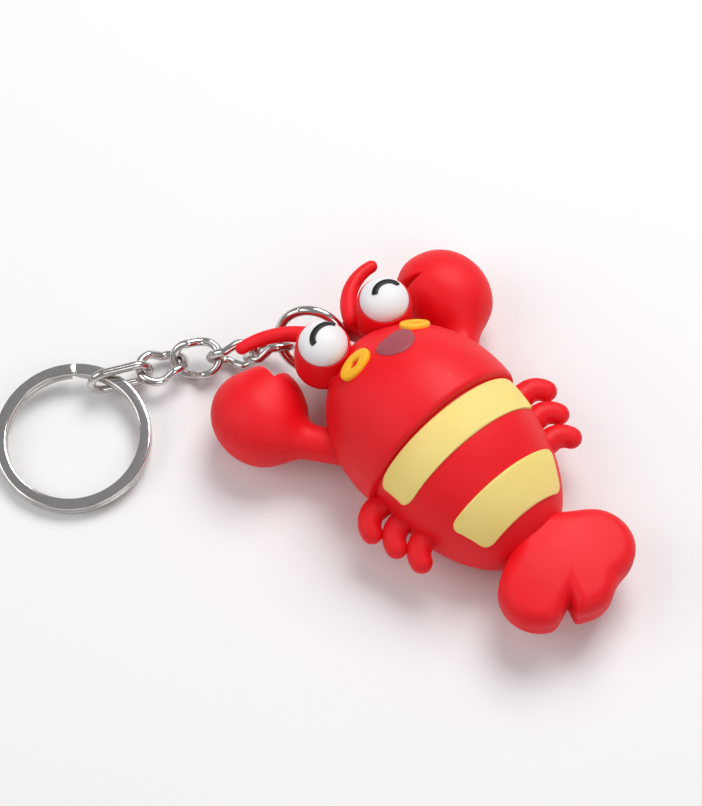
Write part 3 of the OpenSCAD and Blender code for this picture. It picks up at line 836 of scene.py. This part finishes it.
def noise(tree, scale_socket, detail, roughness=0.55):
    """A noise on Object coordinates, with its scale read from a socket."""
    place = tree.nodes.new("ShaderNodeTexCoord")
    made = tree.nodes.new("ShaderNodeTexNoise")
    made.inputs["Detail"].default_value = detail
    made.inputs["Roughness"].default_value = roughness
    wire(tree, place.outputs["Object"], made.inputs["Vector"])
    wire(tree, scale_socket, made.inputs["Scale"])
    return made


def spread(tree, socket, low, high):
    """Maps the stretch from low to high on to 0 to 1, smoothly, and clips the rest."""
    made = tree.nodes.new("ShaderNodeMapRange")
    made.interpolation_type = "SMOOTHSTEP"
    made.inputs["From Min"].default_value = low
    made.inputs["From Max"].default_value = high
    wire(tree, socket, made.inputs["Value"])
    return made.outputs["Result"]


# %% Mottle, specks and grain groups
mottle, given, out = new_group("slow_mottle", {"Scale": 120.0}, {"Mask": "NodeSocketFloat"})
wire(mottle, spread(mottle, noise(mottle, given.outputs["Scale"], 3).outputs["Fac"], 0.32, 0.68),
     out.inputs["Mask"])

specks, given, out = new_group("small_specks", {"Scale": 420.0}, {"Mask": "NodeSocketFloat"})
cells = specks.nodes.new("ShaderNodeTexVoronoi")
place = specks.nodes.new("ShaderNodeTexCoord")
wire(specks, place.outputs["Object"], cells.inputs["Vector"])
wire(specks, given.outputs["Scale"], cells.inputs["Scale"])
few = specks.nodes.new("ShaderNodeSeparateColor")
wire(specks, cells.outputs["Color"], few.inputs["Color"])
both = specks.nodes.new("ShaderNodeMath")
both.operation = "MULTIPLY"
wire(specks, spread(specks, cells.outputs["Distance"], 0.08, 0.03), both.inputs[0])
wire(specks, spread(specks, few.outputs["Red"], 0.93, 0.95), both.inputs[1])
wire(specks, both.outputs["Value"], out.inputs["Mask"])

grain, given, out = new_group("fine_grain", {"Scale": 3000.0, "Strength": 0.1, "Waviness": 0.1},
                              {"Normal": "NodeSocketVector"})
fine = grain.nodes.new("ShaderNodeBump")
fine.inputs["Distance"].default_value = 0.00004
wire(grain, noise(grain, given.outputs["Scale"], 4).outputs["Fac"], fine.inputs["Height"])
wire(grain, given.outputs["Strength"], fine.inputs["Strength"])
broad_scale = grain.nodes.new("ShaderNodeMath")
broad_scale.operation = "MULTIPLY"
broad_scale.inputs[1].default_value = 0.11
wire(grain, given.outputs["Scale"], broad_scale.inputs[0])
broad = grain.nodes.new("ShaderNodeBump")
broad.inputs["Distance"].default_value = 0.0004
wire(grain, noise(grain, broad_scale.outputs["Value"], 2).outputs["Fac"], broad.inputs["Height"])
wire(grain, given.outputs["Waviness"], broad.inputs["Strength"])
wire(grain, fine.outputs["Normal"], broad.inputs["Normal"])
wire(grain, broad.outputs["Normal"], out.inputs["Normal"])
print("groups:", [g.name for g in bpy.data.node_groups])

# %% [markdown]
# ## Soft rubber
#
# Soft PVC has a satin skin: broad dull highlights, a little light that enters and comes out tinted,
# a slow unevenness of tone, and a scatter of dust and tiny dents. Each colour of rubber is the same
# recipe with its own tones. Constant values sit on the shader itself, and only what varies is wired.

# %% Rubber
def placed(tree, group, **values):
    """One use of a shared group, with its own values."""
    made = tree.nodes.new("ShaderNodeGroup")
    made.node_tree = group
    for label, value in values.items():
        made.inputs[label].default_value = value
    return made


def blend_colour(tree, mask, first, second):
    """Mixes two colours by a mask; either may be a socket or a plain colour."""
    made = tree.nodes.new("ShaderNodeMix")
    made.data_type = "RGBA"
    wire(tree, mask, made.inputs["Factor"])
    for label, value in (("A", first), ("B", second)):
        socket = [s for s in made.inputs if s.name == label and s.type == "RGBA"][0]
        if isinstance(value, bpy.types.NodeSocket):
            wire(tree, value, socket)
        else:
            socket.default_value = (*value, 1)
    return [s for s in made.outputs if s.type == "RGBA"][0]


def tone_range(tree, mask, low, high):
    """A value that runs evenly from low to high as the mask runs from 0 to 1."""
    made = tree.nodes.new("ShaderNodeMapRange")
    made.inputs["To Min"].default_value = low
    made.inputs["To Max"].default_value = high
    wire(tree, mask, made.inputs["Value"])
    return made.outputs["Result"]


def rubber(name, tone, worn_tone, dust_tone, roughness=0.5, inside=0.06):
    """One colour of soft PVC: its tone, a slightly faded one, and that of the dust on it."""
    material = bpy.data.materials.new(name)
    material.use_nodes = True
    tree = material.node_tree
    shader = tree.nodes["Principled BSDF"]
    slow = placed(tree, mottle, Scale=95.0)
    dust = placed(tree, specks, Scale=330.0)
    bump = placed(tree, grain, Scale=2600.0, Strength=0.16, Waviness=0.10)
    uneven = blend_colour(tree, slow.outputs["Mask"], tone, worn_tone)
    dusty = blend_colour(tree, dust.outputs["Mask"], uneven, dust_tone)
    wire(tree, dusty, shader.inputs["Base Color"])
    wire(tree, tone_range(tree, slow.outputs["Mask"], roughness - 0.05, roughness + 0.06),
         shader.inputs["Roughness"])
    wire(tree, bump.outputs["Normal"], shader.inputs["Normal"])
    shader.inputs["Subsurface Weight"].default_value = inside
    shader.inputs["Subsurface Radius"].default_value = (0.0016, 0.0006, 0.0004)
    shader.inputs["Subsurface Scale"].default_value = 1.0
    shader.inputs["Specular IOR Level"].default_value = 0.28
    return material


red = rubber("red_rubber", (0.80, 0.004, 0.010), (0.84, 0.008, 0.015), (0.90, 0.09, 0.09))
yellow = rubber("yellow_rubber", (0.90, 0.69, 0.20), (0.92, 0.72, 0.25), (0.94, 0.8, 0.45), 0.55)
gold = rubber("gold_rubber", (0.94, 0.45, 0.012), (0.96, 0.52, 0.03), (1.0, 0.7, 0.2), 0.42)
mauve = rubber("mauve_rubber", (0.34, 0.065, 0.085), (0.37, 0.08, 0.1), (0.6, 0.3, 0.3), 0.45)
white = rubber("white_rubber", (0.80, 0.78, 0.79), (0.84, 0.82, 0.83), (0.72, 0.68, 0.68), 0.42)
black = rubber("black_rubber", (0.012, 0.011, 0.011), (0.02, 0.018, 0.018), (0.2, 0.2, 0.2),
               0.34, 0.0)
print("rubbers:", [m.name for m in (red, yellow, gold, mauve, white, black)])

# %% [markdown]
# ## Nickel plate
#
# The rings and links are steel wire with a bright nickel plate. Handling leaves smudges, so the
# roughness changes slowly, and the tone drifts from silver to a warmer grey. Fine scratches run all
# ways. Metal shows mostly what it reflects, so the lights matter as much as the shader.

# %% Nickel
nickel = bpy.data.materials.new("nickel_plate")
nickel.use_nodes = True
tree = nickel.node_tree
shader = tree.nodes["Principled BSDF"]
shader.inputs["Metallic"].default_value = 1.0
smudge = placed(tree, mottle, Scale=260.0)
pits = placed(tree, specks, Scale=900.0)
scratch = placed(tree, grain, Scale=5200.0, Strength=0.12, Waviness=0.06)
warm = blend_colour(tree, smudge.outputs["Mask"], (0.68, 0.65, 0.63), (0.58, 0.54, 0.51))
pitted = blend_colour(tree, pits.outputs["Mask"], warm, (0.25, 0.22, 0.2))
wire(tree, pitted, shader.inputs["Base Color"])
wire(tree, tone_range(tree, smudge.outputs["Mask"], 0.07, 0.17), shader.inputs["Roughness"])
wire(tree, scratch.outputs["Normal"], shader.inputs["Normal"])
print("nickel:", len(tree.nodes), "nodes")

# %% [markdown]
# ## Which piece rides on which body
#
# Every rubber piece belongs to the figure. Each metal piece belongs to its own body, so it swings
# with its joint. Each new piece stands for the CAD node or nodes that it replaces.

# %% Ride, replace and finish
def settle(piece, body, material, slot, *nodes):
    """Gives a piece its material, its body and the CAD nodes that it stands for. The slot is not used.
    """
    piece.data.materials.append(material)
    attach(piece, body)
    if nodes:
        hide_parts(*nodes)


settle(head, "figure", red, "red_rubber", "head_front", "head_back")
settle(abdomen, "figure", red, "red_rubber", "abdomen_front", "abdomen_back")
settle(upper_band, "figure", yellow, "yellow_rubber", "belly_band_upper")
settle(lower_band, "figure", yellow, "yellow_rubber", "belly_band_lower")
settle(mouth, "figure", mauve, "mauve_rubber", "mouth")
settle(tail_fan, "figure", red, "red_rubber", "tail_fan_front", "tail_fan_back")
settle(lug, "figure", red, "red_rubber", "hanging_lug")
settle(lug_bar, "figure", red, "red_rubber")
paired = {"claw": (left_claw, right_claw), "cheek": (left_cheek, right_cheek)}
for k, side_name in enumerate(("left", "right")):
    settle(paired["claw"][k], "figure", red, "red_rubber",
           f"{side_name}_claw_front", f"{side_name}_claw_back")
    settle(paired["cheek"][k], "figure", gold, "gold_rubber", f"{side_name}_cheek_ring")
    settle(cups[k], "figure", red, "red_rubber", f"{side_name}_eye_stalk")
    settle(necks[k], "figure", red, "red_rubber")
    settle(whites[k], "figure", white, "white_rubber", f"{side_name}_eye_white")
    settle(lids[k], "figure", black, "black_rubber", f"{side_name}_eyelid_line")
    settle(horns[k], "figure", red, "red_rubber", f"{side_name}_antenna")
    for leg in range(3):
        settle(legs[3 * k + leg], "figure", red, "red_rubber", f"{side_name}_leg_{leg + 1}")
settle(jump_ring, "jump_ring", nickel, "nickel", "jump_ring")
for k in range(4):
    settle(links[k], f"chain_link_{k + 1}", nickel, "nickel", f"chain_link_{k + 1}")
settle(links[4], "end_link", nickel, "nickel", "end_link")
settle(split_ring, "split_ring", nickel, "nickel", "split_ring")

# %% [markdown]
# ## Floor, light and camera
#
# The figure lies on a plain pale floor. Three big soft lights give broad, dull highlights on the
# rubber. The surround is dim, so the metal shows bright lights between dark bands, as wire does. The
# camera looks steeply down with a long lens, from beyond the tail and a little to the left.

# %% Floor
floor_mesh = bpy.data.meshes.new("floor")
FLOOR_HALF, FLOOR_Z = 2, -0.0001
corners = [(x * FLOOR_HALF, y * FLOOR_HALF, FLOOR_Z)
           for x, y in ((-1, -1), (1, -1), (1, 1), (-1, 1))]
floor_mesh.from_pydata(corners, [], [(0, 1, 2, 3)])
floor = bpy.data.objects.new("floor", floor_mesh)
bpy.context.scene.collection.objects.link(floor)
paper = bpy.data.materials.new("pale_paper")
paper.use_nodes = True
matt = paper.node_tree.nodes["Principled BSDF"]
matt.inputs["Base Color"].default_value = (0.86, 0.85, 0.84, 1)
matt.inputs["Roughness"].default_value = 0.9
floor.data.materials.append(paper)

# %% Camera
AZIMUTH, ELEVATION, DISTANCE = np.radians(-40.2), np.radians(62.6), 0.3515
LOOK_AT = Vector((-0.00646, 0.01973, 0.0096))
back = Vector((np.sin(AZIMUTH) * np.cos(ELEVATION),
               -np.cos(AZIMUTH) * np.cos(ELEVATION),
               np.sin(ELEVATION)))
camera = bpy.data.objects.new("camera", bpy.data.cameras.new("camera"))
bpy.context.scene.collection.objects.link(camera)
camera.data.lens = 100
camera.data.sensor_width = 36
camera.location = LOOK_AT + back * DISTANCE
camera.rotation_mode = "QUATERNION"
camera.rotation_quaternion = (-back).to_track_quat("-Z", "Y")
camera.data.clip_start = 0.01
bpy.context.scene.camera = camera
print("camera at", [round(c, 4) for c in camera.location])


# %% Lights
def soft_light(name, toward, distance, size, power, colour=(1, 1, 1)):
    """A square area light that looks at the figure from a direction."""
    light = bpy.data.objects.new(name, bpy.data.lights.new(name, "AREA"))
    light.data.shape = "SQUARE"
    light.data.size = size
    light.data.energy = power
    light.data.color = colour
    way = Vector(toward).normalized()
    light.location = LOOK_AT + way * distance
    light.rotation_mode = "QUATERNION"
    light.rotation_quaternion = (-way).to_track_quat("-Z", "Y")
    bpy.context.scene.collection.objects.link(light)


soft_light("key", (0.75, 0.35, 1.25), 0.6, 0.34, 2.7)
soft_light("fill", (-0.9, 0.5, 0.9), 0.7, 0.5, 1.3)
soft_light("front", (-0.1, -1.0, 0.9), 0.8, 0.4, 0.9)
world = bpy.data.worlds.new("studio")
bpy.context.scene.world = world
world.use_nodes = True
sky = world.node_tree.nodes["Background"]
sky.inputs["Color"].default_value = (0.93, 0.95, 1.0, 1)
sky.inputs["Strength"].default_value = 0.34
bpy.context.scene.view_settings.view_transform = "Standard"
bpy.context.scene.view_settings.look = "None"
